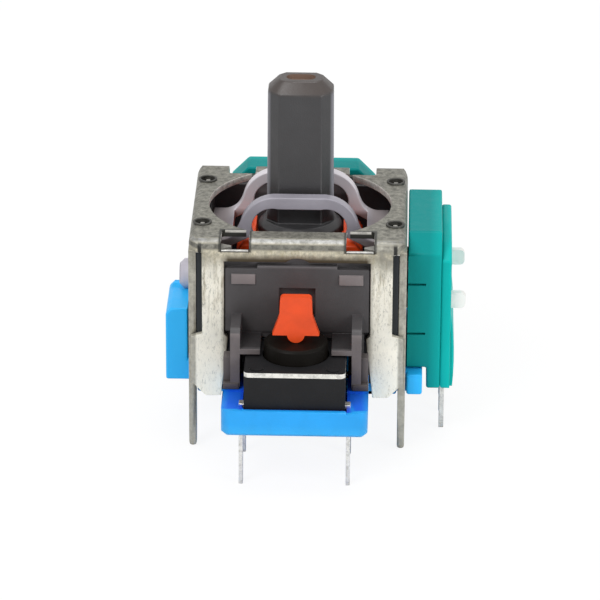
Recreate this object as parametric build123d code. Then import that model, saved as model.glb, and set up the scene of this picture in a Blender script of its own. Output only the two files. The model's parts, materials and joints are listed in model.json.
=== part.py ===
from build123d import *
import os

# Two-axis analog stick: a sprung stick in a gimbal of two crossed arms, inside a folded steel frame,
# with a rotary potentiometer on the right and one at the rear, and a push switch under the front arm.
# Millimetres. X runs to the side potentiometer, Y to the rear one, Z up. The origin lies under the
# stick's pivot, on the underside of the base, where the board's top face is.

os.makedirs("parts", exist_ok=True)

# Pivot and general clearances
pivot_z = 5.6
running_gap = 0.05
seat_gap = 0.05
moulding_gap = 0.1
cut_past = 1.0

# Folded steel frame: across its front it is set out inwards from its sides
frame_width = 13.3
frame_top = 10.5
sheet = 0.45
bend_radius = 0.9
side_bend_radius = 0.55
opening_rim = 1.0
opening_front_rim = 1.8
ear_hole_radius = 0.45
ear_hole_inset = 0.75
ear_hole_back = 3.1
ear_corner_radius = 1.3
window_inset = 2.0
window_width = 1.7
window_length = 1.95
window_bottom = 9.75
slit_top = 9.7
band_bottom = 9.2
catch_half = 0.7
catch_height = 0.25
front_leg_inset = 0.85
front_leg_width = 1.35
pad_top = 4.2
pad_inset = 0.15
pad_width = 2.3
pad_bottom = 0.27
pad_taper = 0.95
pad_foot_inset = 1.05
pad_foot_width = 0.95
side_leaf_bottom = 1.55
side_leg_width = 1.0
leg_corner = 0.2
leg_tip_round = 0.4
tip_level = -3.5

# Stick
stick_top = 18.75
shaft_width = 4.1
shaft_depth = 2.9
shaft_draft = 0.08
shaft_facet = 0.72
shaft_root = 9.55
crown_width = 2.6
crown_depth = 1.7
crown_height = 0.72
dimple_length = 1.8
dimple_width = 0.95
dimple_depth = 0.3
boss_top = 9.6
boss_chamfer = 0.4
foot_drop = 2.2
foot_radius = 1.0
trunnion_radius = 0.8

# Upper arm
hub_thickness = 0.7
hub_radius = 1.6
shoulder_top = 9.0
shoulder_thickness = 0.8
shoulder_width = 1.35
arch_inset = 1.88
arch_crown = 11.8
arch_band = 0.78
arch_corner = 2.3
haunch_drop = 1.75
haunch_bow = 0.62
ankle_out = 0.12
ankle_drop = 2.05
toe_out = 0.75
arm_depth = 5.3
slot_clearance = 0.4
axle_radius = 0.95
axle_chamfer = 0.3
axle_proud = 0.85
key_flat = 1.2

# Lower arm
arm_swing_gap = 0.9
cheek_gap = 0.1
cheek_thickness = 1.2
cheek_rise = 3.7
cheek_half_depth = 2.3
rail_inset = 0.45
bar_inset = 1.4
bar_thickness = 0.7
bar_corner_gap = 0.4
bar_top = 1.3
bar_bottom = 1.2
neck_rib_height = 1.5
flag_thickness = 0.55
flag_offset = -0.345
cam_thickness = 1.1
flag_top = 2.45
flag_top_width = 1.9
flag_waist_width = 2.0
flag_foot_width = 2.9
flag_round = 0.24
cam_radius = 0.53

# Housing
wall = 0.55
housing_top = 10.0
window_notch = 0.6
block_gap = 0.07
block_top = 8.75
crown_inset = 1.95
crown_rise = 0.18
front_slot_half = 1.1
front_slot_top = 7.5
spot_inset = 0.38
spot_width = 1.45
spot_bottom = 7.76
spot_top = 8.4
spot_depth = 0.12
fork_inset = 0.41
fork_thickness = 0.59
fork_length = 2.55
fork_bottom = 2.0
fork_top = 5.8
shelf_gap = 0.2
shelf_thickness = 0.35

# Base
floor_thickness = 1.0
rim_thickness = 1.35
floor_inset = 1.15
pocket_floor = 0.55
pocket_lift = 0.08
pocket_wall = 0.42
pocket_side_wall = 1.27
front_wall_top = 1.78
cheek_block_top = 3.0
cheek_block_length = 2.85
base_corner = 0.5
post_gap = 0.2
post_width = 1.35
post_front_inset = 2.9
post_rear = 0.9
post_top = 4.8
post_chamfer = 0.35
strip_width = 1.05
spring_post_radius = 1.05
spring_post_top = 1.9
leg_notch_gap = 0.08

# Spring and its seat
spring_radius = 1.6
wire_radius = 0.14
wire_sides = 6
spring_turns = 3
seat_margin = 0.55
seat_thickness = 0.4
seat_chamfer = 0.1
foot_gap = 0.3
spigot_gap = 0.2
spigot_length = 0.45

# Push switch
switch_gap = 0.1
switch_side_room = 1.23
switch_length = 6.0
switch_behind = 0.97
case_height = 3.2
cover_thickness = 0.3
stud_radius = 0.42
stud_inset = 0.75
plunger_inset = 1.1
plunger_gap = 0.07
plunger_chamfer = 0.15
flange_width = 0.35
flange_thickness = 0.3
switch_travel = 0.25
cam_gap = 0.03
dome_overlap = 0.15
dome_rise = 0.3
dome_sheet = 0.08
pin_pitch_y = 4.5
pin_outset = 0.2
pin_thickness = 0.25
pin_width = 0.6
pin_exit = 1.6
rail_width = 0.6

# Potentiometers
pot_gap = 0.09
pot_body_depth = 2.06
pot_cover_depth = 0.6
pot_half_width = 4.6
pot_top_inset = 1.1
pot_top = 10.1
pot_shoulder = 9.0
pot_bottom = 1.45
cover_top = 9.25
terminal_block_inset = 1.21
terminal_block_bottom = 0.05
pot_bore = 2.9
pot_notch_width = 1.1
pot_notch_height = 0.15
pot_notch_depth = 0.25
pot_notch_low = 3.66
pot_notch_high = 6.94
bulge = 0.24
bulge_top = 5.0
bulge_foot = 0.17
bulge_inset = 0.45
board_thickness = 0.45
board_inset = 0.6
board_top = 8.6
board_bottom = 0.5
terminal_pitch = 2.5
terminal_thickness = 0.3
terminal_width = 0.6
terminal_head = 2.6
tab_inset = 1.15
tab_width = 1.0
tab_proud = 0.9
tab_corner = 0.3
rotor_gap = 0.15
rotor_thickness = 0.9
wiper_inset = 0.45
wiper_bore = 1.25
wiper_sheet = 0.12
wiper_gap = 0.1
finger_width = 0.5
finger_length = 1.3

# Frame and housing, from the frame's width inwards
frame_half = frame_width / 2
frame_inside = frame_half - sheet
opening_radius = frame_half - opening_rim
opening_front = frame_half - opening_front_rim
ear_hole_x = frame_half - ear_hole_inset
ear_hole_y = frame_half - ear_hole_back
window_outer = frame_half - window_inset
window_inner = window_outer - window_width
window_depth = frame_half - window_length
front_leg_outer = frame_half - front_leg_inset
front_leg_inner = front_leg_outer - front_leg_width
pad_outer = frame_half - pad_inset
pad_inner = pad_outer - pad_width
pad_foot_outer = frame_half - pad_foot_inset
pad_foot_inner = pad_foot_outer - pad_foot_width
side_leg_outer = frame_inside - moulding_gap
side_leg_inner = side_leg_outer - side_leg_width
housing_half = frame_inside - seat_gap
cavity_half = housing_half - wall
block_front = frame_half - seat_gap
block_half = front_leg_inner - block_gap
block_crown_half = block_half - crown_inset
spot_outer = block_half - spot_inset
spot_inner = spot_outer - spot_width
fork_outer = block_half - fork_inset
fork_inner = fork_outer - fork_thickness
fork_reach = frame_half + fork_length

# Gimbal, from the housing inwards
shoulder_outer = cavity_half - moulding_gap
shoulder_inner = shoulder_outer - shoulder_width
hub_inner = shoulder_outer - hub_thickness
arch_half_width = shoulder_outer - arch_inset
arch_flat = arch_half_width - arch_corner
arm_half = arm_depth / 2
slot_width = shaft_depth + 2 * slot_clearance
cheek_outer = hub_inner - arm_swing_gap
cheek_inner = cheek_outer - cheek_thickness
boss_radius = cheek_inner - cheek_gap
bar_outer = cavity_half - bar_inset
bar_inner = bar_outer - bar_thickness
rail_outer = cheek_outer - rail_inset
arm_swing_radius = bar_outer + bar_corner_gap
bearing_radius = axle_radius + running_gap
frame_hole_radius = bearing_radius + seat_gap
axle_end = frame_half + axle_proud
seat_radius = spring_radius + seat_margin
spigot_radius = spring_radius - wire_radius - spigot_gap
seat_top = pivot_z - foot_drop - foot_gap
seat_bottom = seat_top - seat_thickness

# Push switch, in the room before the housing
switch_half = block_half - switch_side_room - switch_gap
switch_y = -frame_half + switch_behind - switch_length / 2
switch_rear = switch_y + switch_length / 2
switch_front = switch_y - switch_length / 2
case_bottom = pocket_floor + seat_gap
case_top = case_bottom + case_height
cover_top_z = case_top + cover_thickness
plunger_radius = switch_half - plunger_inset
plunger_flange = plunger_radius + flange_width
plunger_top = pivot_z - cam_radius - cam_gap
flange_bottom = case_top - seat_gap - flange_thickness
dome_radius = plunger_radius + dome_overlap
stud_offset = switch_half - stud_inset
pin_place = switch_half + pin_outset
shelf_bottom = cover_top_z + moulding_gap
shelf_inner = plunger_radius + shelf_gap
flag_front = flag_thickness / 2 - switch_y - flag_offset

# Base
strip_half = frame_half - floor_inset
strip_outer = frame_half + strip_width
post_inner = frame_half + post_gap
post_outer = post_inner + post_width
post_front = frame_half - post_front_inset
pocket_half = switch_half + switch_gap + pocket_side_wall
pocket_front = seat_gap + pocket_wall - switch_front
cheek_block_rear = pocket_front - cheek_block_length

# Potentiometers, from the frame outwards
pot_inner = frame_half + pot_gap
pot_split = pot_inner + pot_body_depth
pot_outer = pot_split + pot_cover_depth
pot_top_half = pot_half_width - pot_top_inset
terminal_block_inner = pot_inner + terminal_block_inset
board_inner = pot_split - board_thickness
board_half = pot_half_width - board_inset
tab_middle = pot_half_width - tab_inset
tab_reach = pot_outer + tab_proud
rotor_inner = pot_inner + moulding_gap
rotor_outer = rotor_inner + rotor_thickness
rotor_radius = pot_bore - rotor_gap
wiper_radius = rotor_radius - wiper_inset
axle_reach = rotor_outer - seat_gap


def block(x_range, y_range, z_range):
    """Box between the given limits."""
    ranges = (x_range, y_range, z_range)
    size = [high - low for low, high in ranges]
    centre = [(high + low) / 2 for low, high in ranges]
    return Pos(*centre) * Box(*size)


def bar(radius, start, end):
    """Round bar from one point to another."""
    axis = Vector(*end) - Vector(*start)
    place = Plane(origin=start, z_dir=axis)
    return extrude(place * Circle(radius), axis.length)


def both_ways(half):
    """Limits that lie the same distance on either side of zero."""
    return (-half, half)


def mirrored(points, plane):
    """Face outlined by the points and their mirror image."""
    side = make_face(Polyline(*points, close=True))
    return side + mirror(side, about=plane)


def in_xz(points):
    """Points given as (x, z), laid in the XZ plane."""
    return [(x, 0, z) for x, z in points]


def in_yz(points):
    """Points given as (y, z), laid in the YZ plane."""
    return [(0, y, z) for y, z in points]


def on_rear(shape):
    """The shape turned from the right-hand side of the stick to its rear."""
    return Rot(0, 0, 90) * shape


# Frame
def front_leaf_outline():
    """Outline of the front leaf: band, two legs and their wide pads."""
    step = pad_top + leg_corner
    points = [
        (0, frame_top),
        (frame_half, frame_top),
        (frame_half, slit_top),
        (front_leg_outer, slit_top),
        (front_leg_outer, step),
        (pad_outer, pad_top),
        (pad_outer, pad_bottom + pad_taper),
        (pad_foot_outer, pad_bottom),
        (pad_foot_inner, pad_bottom),
        (pad_inner, pad_top),
        (front_leg_inner, step),
        (front_leg_inner, band_bottom),
        (0, band_bottom),
    ]
    leaf = extrude(mirrored(in_xz(points), Plane.YZ), frame_width, both=True)
    return leaf - front_catch()


def front_catch():
    """Shallow arched notch in the middle of the front band's lower edge."""
    ends = [(-catch_half, band_bottom), (0, band_bottom + catch_height), (catch_half, band_bottom)]
    arch = make_face([ThreePointArc(*in_xz(ends)), Line(*in_xz(ends[::-2]))])
    return extrude(arch, frame_width, both=True)


def rear_leaf_outline():
    """Outline of the plain rear leaf, which carries the rear potentiometer."""
    points = [
        (0, frame_top),
        (frame_half, frame_top),
        (frame_half, slit_top),
        (front_leg_outer, slit_top),
        (front_leg_outer, side_leaf_bottom),
        (0, side_leaf_bottom),
    ]
    return extrude(mirrored(in_xz(points), Plane.YZ), frame_width, both=True)


def side_leaf_outline():
    """Outline of a side leaf with its two solder legs, which end round."""
    points = [
        (0, frame_top),
        (frame_half, frame_top),
        (frame_half, slit_top),
        (side_leg_outer, slit_top),
        (side_leg_outer, tip_level),
        (side_leg_inner, tip_level),
        (side_leg_inner, side_leaf_bottom),
        (0, side_leaf_bottom),
    ]
    leaf = extrude(mirrored(in_yz(points), Plane.XZ), frame_width, both=True)
    tips = leaf.edges().filter_by(Axis.X).filter_by_position(Axis.Z, tip_level, tip_level)
    return fillet(tips, leg_tip_round)


def rounded_box(half, top, front_radius, side_radius):
    """Box with rounded top edges: one radius at the front and rear, another at the sides."""
    span = both_ways(half)
    box = block(span, span, (tip_level - sheet, top))
    top_edges = box.edges().group_by(Axis.Z)[-1]
    front_rounded = fillet(top_edges.filter_by(Axis.X), front_radius)
    return front_rounded & fillet(top_edges.filter_by(Axis.Y), side_radius)


def folded_sheet():
    """Box of bent sheet, open below, before its leaves are cut out."""
    outside = rounded_box(frame_half, frame_top, bend_radius, side_bend_radius)
    inside = rounded_box(frame_inside, frame_top - sheet, bend_radius - sheet, side_bend_radius - sheet)
    return outside & block(both_ways(frame_width), both_ways(frame_width), (tip_level, frame_top)) - inside


def top_opening():
    """Big round opening of the top plate, cut straight along the front."""
    tall = (slit_top - sheet, frame_top + sheet)
    disc = bar(opening_radius, (0, 0, tall[0]), (0, 0, tall[1]))
    return disc & block(both_ways(frame_half), (-opening_front, frame_half), tall)


def bend_windows():
    """Rectangular windows across the front and rear bends."""
    along = (window_depth, frame_half + sheet)
    window = block((window_inner, window_outer), along, (window_bottom, frame_top + sheet))
    window = fillet(window.edges().filter_by(Axis.Z), leg_corner)
    pair = window + mirror(window, about=Plane.YZ)
    return pair + mirror(pair, about=Plane.XZ)


def corner_rounding():
    """Material outside the rounded ears at the four corners."""
    tall = (slit_top, frame_top + sheet)
    near = frame_half - ear_corner_radius
    corner = block((near, frame_half + sheet), (near, frame_half + sheet), tall)
    corner -= bar(ear_corner_radius, (near, near, tall[0]), (near, near, tall[1]))
    pair = corner + mirror(corner, about=Plane.YZ)
    return pair + mirror(pair, about=Plane.XZ)


def pot_tabs():
    """Two tabs that leave the right leaf and hold the potentiometer on it."""
    tabs = []
    for side in (-1, 1):
        middle = side * tab_middle
        tab = block(
            (frame_inside, tab_reach),
            (middle - sheet / 2, middle + sheet / 2),
            (pivot_z - tab_width / 2, pivot_z + tab_width / 2),
        )
        tip = tab.edges().filter_by(Axis.Y).group_by(Axis.X)[-1]
        tabs.append(fillet(tip, tab_corner))
    return tabs


def make_frame_shell():
    frame = folded_sheet()
    tall = (tip_level - sheet, frame_top)
    wide = both_ways(frame_half + sheet)
    frame -= block(wide, (-frame_half - sheet, -frame_inside), tall) - front_leaf_outline()
    frame -= block(wide, (frame_inside, frame_half + sheet), tall) - rear_leaf_outline()
    side_zone = block((frame_inside, frame_half + sheet), both_ways(frame_inside), tall)
    side_zone += mirror(side_zone, about=Plane.YZ)
    frame -= side_zone - side_leaf_outline()
    frame -= top_opening() + bend_windows() + corner_rounding()
    for x in (-ear_hole_x, ear_hole_x):
        for y in (-ear_hole_y, ear_hole_y):
            frame -= bar(ear_hole_radius, (x, y, slit_top - sheet), (x, y, frame_top + sheet))
    frame -= bar(frame_hole_radius, (-frame_width, 0, pivot_z), (frame_width, 0, pivot_z))
    frame -= bar(frame_hole_radius, (0, 0, pivot_z), (0, frame_width, pivot_z))
    for tab in pot_tabs():
        frame += tab
        frame += on_rear(tab)
    return frame


# Stick
def shaft_section(width, depth, facet, height):
    """Four-sided section with facets at its corners."""
    section = Rectangle(width, depth)
    section = chamfer(section.vertices(), facet)
    return Plane(origin=(0, 0, height)) * section


def stick_shaft():
    crown_foot = stick_top - crown_height
    root = shaft_section(shaft_width, shaft_depth, shaft_facet, shaft_root)
    shoulder = shaft_section(shaft_width - shaft_draft, shaft_depth - shaft_draft, shaft_facet, crown_foot)
    crown = shaft_section(crown_width, crown_depth, shaft_facet / 2, stick_top)
    shaft = loft([root, shoulder]) + loft([shoulder, crown])
    dimple = Plane(origin=(0, 0, stick_top)) * SlotOverall(dimple_length, dimple_width)
    return shaft - extrude(dimple, -dimple_depth)


def stick_boss():
    """Round boss with a coned underside and a flat foot."""
    waist = pivot_z - foot_drop + foot_radius
    boss = bar(boss_radius, (0, 0, waist), (0, 0, boss_top))
    boss = chamfer(boss.edges().group_by(Axis.Z)[-1], boss_chamfer)
    foot = Cone(foot_radius, 2 * foot_radius, foot_radius)
    return boss + Pos(0, 0, waist - foot_radius / 2) * foot


def make_stick():
    stick = stick_shaft() + stick_boss()
    end = cheek_outer - moulding_gap
    stick += bar(trunnion_radius, (-end, 0, pivot_z), (end, 0, pivot_z))
    return stick


# Upper arm
def arch_outline():
    """Front view of the arch: flat crown, round corners, flared feet and flat shoulders."""
    crown = (arch_flat, arch_crown)
    haunch_middle = (arch_half_width - haunch_bow, arch_crown - haunch_bow)
    haunch = (arch_half_width, arch_crown - haunch_drop)
    ankle = (arch_half_width + ankle_out, arch_crown - ankle_drop)
    toe = (shoulder_inner + toe_out, shoulder_top)
    top = Line(*in_xz([(0, arch_crown), crown]))
    knee = ThreePointArc(*in_xz([crown, haunch_middle, haunch]))
    shin = Line(*in_xz([haunch, ankle]))
    flare = TangentArc(*in_xz([ankle, toe]), tangent=shin % 1)
    rest = Polyline(
        *in_xz([
            toe,
            (shoulder_outer, shoulder_top),
            (shoulder_outer, shoulder_top - shoulder_thickness),
            (0, shoulder_top - shoulder_thickness),
            (0, arch_crown),
        ])
    )
    side = make_face([top, knee, shin, flare, rest])
    return side + mirror(side, about=Plane.YZ)


def arch_inside():
    """Front view of the space under the arch."""
    low = shoulder_top - shoulder_thickness
    crown = arch_crown - arch_band
    inner = arch_half_width - arch_band
    bow = haunch_bow / 2 + arch_band
    points = [
        (arch_flat, crown),
        (0, crown),
        (0, low - sheet),
        (shoulder_inner, low - sheet),
        (shoulder_inner, low + shoulder_thickness / 2),
        (inner, arch_crown - haunch_drop - arch_band),
    ]
    knee = [points[-1], (arch_half_width - bow, arch_crown - bow), points[0]]
    side = make_face([Polyline(*in_xz(points)), ThreePointArc(*in_xz(knee))])
    return side + mirror(side, about=Plane.YZ)


def upper_arm_hub():
    """Side plate from the shoulder down to the axle, on the right."""
    low = shoulder_top - shoulder_thickness
    points = in_yz([
        (-arm_half, shoulder_top - shoulder_thickness / 2),
        (arm_half, shoulder_top - shoulder_thickness / 2),
        (arm_half, low),
        (hub_radius, pivot_z),
        (-hub_radius, pivot_z),
        (-arm_half, low),
    ])
    plate = extrude(make_face(Polyline(*points, close=True)), shoulder_outer - hub_inner, dir=(1, 0, 0))
    plate = Pos(hub_inner, 0, 0) * plate
    return plate + bar(hub_radius, (hub_inner, 0, pivot_z), (shoulder_outer, 0, pivot_z))


def keyed_axle(reach):
    """Axle along +X with two flats on the length that enters the rotor."""
    axle = bar(axle_radius, (hub_inner, 0, pivot_z), (reach, 0, pivot_z))
    keyed = (pot_inner, reach + sheet)
    flat = key_flat / 2
    axle -= block(keyed, both_ways(axle_radius), (pivot_z + flat, pivot_z + axle_radius))
    return axle - block(keyed, both_ways(axle_radius), (pivot_z - axle_radius, pivot_z - flat))


def make_upper_arm():
    arm = extrude(arch_outline(), arm_half, both=True)
    arm -= extrude(arch_inside(), arm_depth, both=True)
    tall = (shoulder_top - 2 * shoulder_thickness, arch_crown + sheet)
    arm -= block(both_ways(shoulder_inner), both_ways(slot_width / 2), tall)
    hub = upper_arm_hub()
    arm += hub + mirror(hub, about=Plane.YZ)
    left_axle = bar(axle_radius, (-axle_end, 0, pivot_z), (-hub_inner, 0, pivot_z))
    left_axle = chamfer(left_axle.edges().group_by(Axis.X)[0], axle_chamfer)
    return arm + left_axle + keyed_axle(axle_reach)


# Lower arm
def arm_centre():
    """Cheeks beside the boss, joined by two cross bars."""
    cheek = bar(cheek_rise, (cheek_inner, 0, pivot_z), (cheek_outer, 0, pivot_z))
    cheek &= bar(arm_swing_radius, (0, -bar_outer, pivot_z), (0, bar_outer, pivot_z))
    cheek &= block((0, arm_swing_radius), both_ways(cheek_half_depth), (pivot_z - bar_bottom, frame_top))
    tall = (pivot_z - bar_bottom, pivot_z + bar_top)
    cheek += block((cheek_inner, rail_outer), both_ways(bar_outer), tall)
    cross = block(both_ways(rail_outer), (bar_inner, bar_outer), tall)
    centre = cheek + mirror(cheek, about=Plane.YZ) + cross + mirror(cross, about=Plane.XZ)
    hole = trunnion_radius + running_gap
    return centre - bar(hole, (-cheek_outer - cut_past, 0, pivot_z), (cheek_outer + cut_past, 0, pivot_z))


def arm_flag():
    """Bell-shaped flag with a round cam on the arm's own axis."""
    foot = pivot_z - running_gap
    points = in_xz([
        (0, pivot_z + flag_top),
        (flag_top_width / 2, pivot_z + flag_top),
        (flag_waist_width / 2, pivot_z + flag_top / 2),
        (flag_foot_width / 2, foot),
        (0, foot),
    ])
    flag = extrude(mirrored(points, Plane.YZ), flag_thickness, dir=(0, 1, 0))
    flag = Pos(0, -flag_front, 0) * flag
    edges = flag.edges().filter_by(Axis.Y).group_by(Axis.Z)[-1]
    flag = fillet(edges, flag_round)
    cam = bar(cam_radius, (0, -flag_front, pivot_z), (0, cam_thickness - flag_front, pivot_z))
    return flag + cam


def arm_neck():
    """Front neck: full size through the housing, slim over the plunger, with a rib on top."""
    rear = -bar_inner - sheet
    neck = bar(axle_radius, (0, -block_front, pivot_z), (0, rear, pivot_z))
    behind_flag = flag_thickness / 2 - flag_front
    neck += bar(cam_radius, (0, behind_flag, pivot_z), (0, rear, pivot_z))
    rib = (pivot_z, pivot_z + neck_rib_height)
    return neck + block(both_ways(axle_radius / 2), (behind_flag, -block_front - moulding_gap), rib)


def make_lower_arm():
    arm = arm_centre() + arm_flag() + arm_neck()
    axle = keyed_axle(axle_reach)
    axle += bar(axle_radius, (bar_inner + sheet, 0, pivot_z), (hub_inner + sheet, 0, pivot_z))
    return arm + on_rear(axle)


# Spring and seat
def make_spring_seat():
    seat = bar(seat_radius, (0, 0, seat_bottom), (0, 0, seat_top))
    seat = chamfer(seat.edges().group_by(Axis.Z)[-1], seat_chamfer)
    return seat + bar(spigot_radius, (0, 0, seat_bottom - spigot_length), (0, 0, seat_bottom))


def make_spring():
    low = floor_thickness + wire_radius
    height = seat_bottom - floor_thickness - 2 * wire_radius
    coil = Helix(height / spring_turns, height, spring_radius)
    start = Plane(origin=coil @ 0, z_dir=coil % 0)
    return Pos(0, 0, low) * sweep(start * RegularPolygon(wire_radius, wire_sides), coil, is_frenet=True)


# Housing
def fork(side):
    """Upright rib beside the switch with a shelf over the switch, on one side."""
    rib = block((fork_inner, fork_outer), (-fork_reach, -block_front + sheet), (fork_bottom, fork_top))
    rib = fillet(rib.edges().filter_by(Axis.X).group_by(Axis.Z)[-1].sort_by(Axis.Y)[0], wall)
    shelf_range = (shelf_bottom, shelf_bottom + shelf_thickness)
    shelf = block((shelf_inner, fork_inner), (-fork_reach, -block_front + sheet), shelf_range)
    arm = rib + shelf
    return arm if side > 0 else mirror(arm, about=Plane.YZ)


def window_notches():
    """Notches in the front and rear walls, under the frame's windows."""
    tall = (housing_top - window_notch, frame_top)
    notch = block((window_inner, window_outer), (cavity_half - cut_past, housing_half + cut_past), tall)
    pair = notch + mirror(notch, about=Plane.YZ)
    return pair + mirror(pair, about=Plane.XZ)


def make_housing():
    tall = (floor_thickness, housing_top)
    housing = block(both_ways(housing_half), both_ways(housing_half), tall)
    housing = chamfer(housing.edges().group_by(Axis.Z)[-1], bend_radius - sheet)
    housing -= block(both_ways(cavity_half), both_ways(cavity_half), (0, frame_top))
    housing -= window_notches()
    deep = (-block_front, -housing_half)
    housing += block(both_ways(block_half), deep, (floor_thickness, block_top))
    housing += block(both_ways(block_crown_half), deep, (block_top, block_top + crown_rise))
    spot_range = (-block_front - spot_depth, -block_front)
    spot = block((spot_inner, spot_outer), spot_range, (spot_bottom, spot_top))
    housing += spot + mirror(spot, about=Plane.YZ) + fork(1) + fork(-1)
    deep = (-frame_half, switch_rear + moulding_gap)
    housing -= block(both_ways(switch_half + switch_gap), deep, (0, cover_top_z + moulding_gap))
    pad_room = (pad_inner - moulding_gap, block_half + cut_past)
    deep = (-frame_half, -frame_inside + moulding_gap)
    beside = block(pad_room, deep, (0, pad_top + 2 * leg_corner))
    housing -= beside + mirror(beside, about=Plane.YZ)
    for slot in pin_slots():
        housing -= slot
    through = 2 * frame_half
    housing -= bar(bearing_radius, (-through, 0, pivot_z), (through, 0, pivot_z))
    housing -= bar(bearing_radius, (0, -through, pivot_z), (0, through, pivot_z))
    housing -= block(both_ways(through), both_ways(bearing_radius), (pivot_z, frame_top))
    housing -= block(both_ways(bearing_radius), (-through, through), (0, pivot_z))
    recess = block(both_ways(front_slot_half), (-frame_half, -housing_half), (pivot_z, front_slot_top))
    return housing - recess


# Base
def base_front():
    """Front pocket that holds the push switch, a little clear of the board."""
    box = block(both_ways(pocket_half), (-pocket_front, -strip_half), (pocket_lift, cheek_block_top))
    front_edges = box.edges().filter_by(Axis.Z).group_by(Axis.Y)[0]
    box = fillet(front_edges, base_corner)
    low_edge = box.edges().filter_by(Axis.X).group_by(Axis.Y)[0].sort_by(Axis.Z)[0]
    box = chamfer(low_edge, base_corner / 2)
    gap = switch_half + switch_gap
    deep = (-pocket_front + pocket_wall, -strip_half + wall)
    box -= block(both_ways(gap), deep, (pocket_floor, frame_top))
    box -= block(both_ways(gap), (-pocket_front - cut_past, deep[0]), (front_wall_top, frame_top))
    behind = (-cheek_block_rear, 0)
    box -= block(both_ways(2 * pocket_half), behind, (fork_bottom - moulding_gap, frame_top))
    under = (-block_front - seat_gap, 0)
    box -= block(both_ways(2 * pocket_half), under, (floor_thickness, frame_top))
    side_room = (-frame_half - moulding_gap, 0)
    narrow = pad_inner - moulding_gap
    tall = (-cut_past, frame_top)
    box -= block((narrow, pocket_half + cut_past), side_room, tall)
    box -= block((-pocket_half - cut_past, -narrow), side_room, tall)
    return box


def pin_slots():
    """Slots in the pocket floor for the four switch pins."""
    slots = []
    room = moulding_gap / 2
    for x in (-pin_place, pin_place):
        for y in (-pin_pitch_y / 2, pin_pitch_y / 2):
            across = (x - pin_thickness / 2 - room, x + pin_thickness / 2 + room)
            along = (switch_y + y - pin_width / 2 - room, switch_y + y + pin_width / 2 + room)
            slots.append(block(across, along, (-cut_past, pin_exit + pin_thickness + room)))
    return slots


def base_post():
    """Post under the axle end on the left."""
    post = block((-post_outer, -post_inner), (-post_front, post_rear), (0, post_top))
    outer_top = post.edges().filter_by(Axis.Y).group_by(Axis.Z)[-1].sort_by(Axis.X)[0]
    post = chamfer(outer_top, post_chamfer)
    post -= bar(bearing_radius, (-post_outer - cut_past, 0, pivot_z), (0, 0, pivot_z))
    return post + block((-post_outer, -housing_half), (-post_front, post_rear), (0, rim_thickness))


def make_base():
    base = block(both_ways(housing_half), both_ways(strip_half), (0, floor_thickness))
    base += block((housing_half, strip_outer), both_ways(strip_half), (0, rim_thickness))
    base += base_front() + base_post()
    base += bar(spring_post_radius, (0, 0, floor_thickness), (0, 0, spring_post_top))
    gap = leg_notch_gap
    for side in (-1, 1):
        notch = block(
            (frame_inside - gap, frame_half + gap),
            (side_leg_inner - gap, side_leg_outer + gap),
            (-cut_past, frame_top),
        )
        base -= notch if side > 0 else mirror(notch, about=Plane.XZ)
    for slot in pin_slots():
        base -= slot
    return base


# Push switch
def stud_places():
    return [(x, switch_y + y) for x in (-stud_offset, stud_offset) for y in (-stud_offset, stud_offset)]


def make_switch_case():
    length = (switch_front, switch_rear)
    case = block(both_ways(switch_half), length, (case_bottom, case_top))
    pocket = plunger_flange + moulding_gap
    pocket_bottom = flange_bottom - switch_travel - dome_rise - 2 * dome_sheet - moulding_gap
    case -= bar(pocket, (0, switch_y, pocket_bottom), (0, switch_y, case_top))
    for x, y in stud_places():
        case += bar(stud_radius, (x, y, case_top), (x, y, cover_top_z + seat_gap))
    for slot in pin_channels():
        case -= slot
    return case


def make_switch_cover():
    length = (switch_front, switch_rear)
    cover = block(both_ways(switch_half), length, (case_top, cover_top_z))
    cover = fillet(cover.edges().filter_by(Axis.Z), cover_thickness)
    cover -= bar(plunger_radius + plunger_gap, (0, switch_y, case_top), (0, switch_y, cover_top_z))
    for x, y in stud_places():
        cover -= bar(stud_radius, (x, y, case_top), (x, y, cover_top_z))
    return cover


def make_switch_plunger():
    button = bar(plunger_radius, (0, switch_y, flange_bottom), (0, switch_y, plunger_top))
    button = chamfer(button.edges().group_by(Axis.Z)[-1], plunger_chamfer)
    flange_top = flange_bottom + flange_thickness
    return button + bar(plunger_flange, (0, switch_y, flange_bottom), (0, switch_y, flange_top))


def make_switch_dome():
    """Snap dome: a thin shallow cone, flat on top, under the plunger."""
    top = flange_bottom - switch_travel - seat_gap
    cone = Cone(dome_radius, dome_radius / 2, dome_rise)
    outside = Pos(0, switch_y, top - dome_rise / 2) * cone
    return outside - Pos(0, 0, -dome_sheet) * outside


def terminal_strip(gap):
    """Right-hand terminal strip: a rail inside the case and two pins outside it."""
    inner = switch_half - rail_width
    outer = pin_place + pin_thickness / 2 + gap
    rail_z = (pin_exit - gap, pin_exit + pin_thickness + gap)
    half = pin_pitch_y / 2
    rail_y = (switch_y - half - pin_width / 2 - gap, switch_y + half + pin_width / 2 + gap)
    strip = block((inner - gap, switch_half - pin_thickness + gap), rail_y, rail_z)
    for y in (-half, half):
        along = (switch_y + y - pin_width / 2 - gap, switch_y + y + pin_width / 2 + gap)
        strip += block((inner, outer), along, rail_z)
        if gap == 0:
            across = (outer - pin_thickness, outer)
            pin = block(across, along, (tip_level, pin_exit + pin_thickness))
            strip += pin
    return strip


def pin_channels():
    right = terminal_strip(running_gap / 5)
    return [right, mirror(right, about=Plane.YZ)]


# Potentiometers, modelled on the right-hand side
def pot_outline(top_half, top, shoulder):
    points = [
        (0, top),
        (top_half, top),
        (pot_half_width, shoulder),
        (pot_half_width, pot_bottom),
        (0, pot_bottom),
    ]
    return mirrored(in_yz(points), Plane.XZ)


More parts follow.
